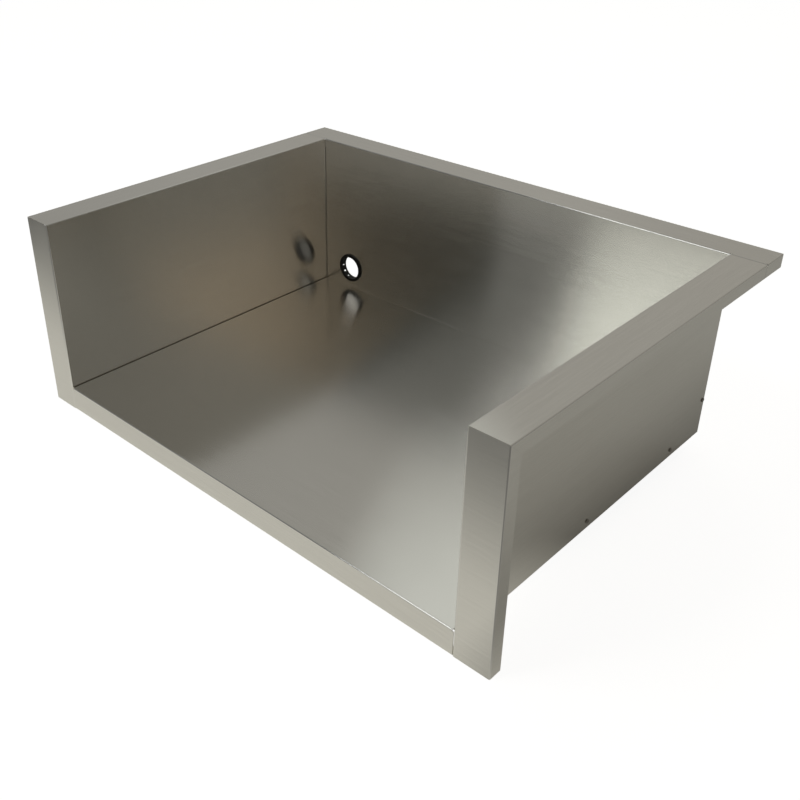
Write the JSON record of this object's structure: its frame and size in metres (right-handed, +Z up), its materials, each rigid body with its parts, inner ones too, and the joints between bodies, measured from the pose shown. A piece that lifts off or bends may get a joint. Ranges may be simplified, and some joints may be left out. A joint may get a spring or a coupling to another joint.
{
  "type": "built-in grill jacket",
  "caption": "Folded stainless-steel liner for a drop-in grill: open top and front, wide flanges with return lips, gas-line bushing low in the back wall.",
  "frame": {"origin": "bottom centre of the whole part: midway across the width and the depth, level with the bottom of the fascia and front flanges", "axes": "+X to the right as seen from the open front, +Y from the open front towards the back wall, +Z up out of the open top"},
  "size_m": [0.866, 0.6226, 0.3115],
  "materials": {
    "sheet_steel": "fine brushed stainless sheet, satin",
    "screw_steel": "plain stainless fastener",
    "nylon": "black moulded nylon"
  },
  "bodies": {
    "root": {"left_side_panel": "sheet_steel", "right_side_panel": "sheet_steel", "back_panel": "sheet_steel", "floor_panel": "sheet_steel", "gas_line_bushing": "nylon", "left_floor_screw_1": "screw_steel", "left_floor_screw_2": "screw_steel", "left_floor_screw_3": "screw_steel", "left_back_screw_1": "screw_steel", "left_back_screw_2": "screw_steel", "right_floor_screw_1": "screw_steel", "right_floor_screw_2": "screw_steel", "right_floor_screw_3": "screw_steel", "right_back_screw_1": "screw_steel", "right_back_screw_2": "screw_steel", "rear_floor_screw_1": "screw_steel", "rear_floor_screw_2": "screw_steel", "rear_floor_screw_3": "screw_steel"}
  },
  "joints": []
}
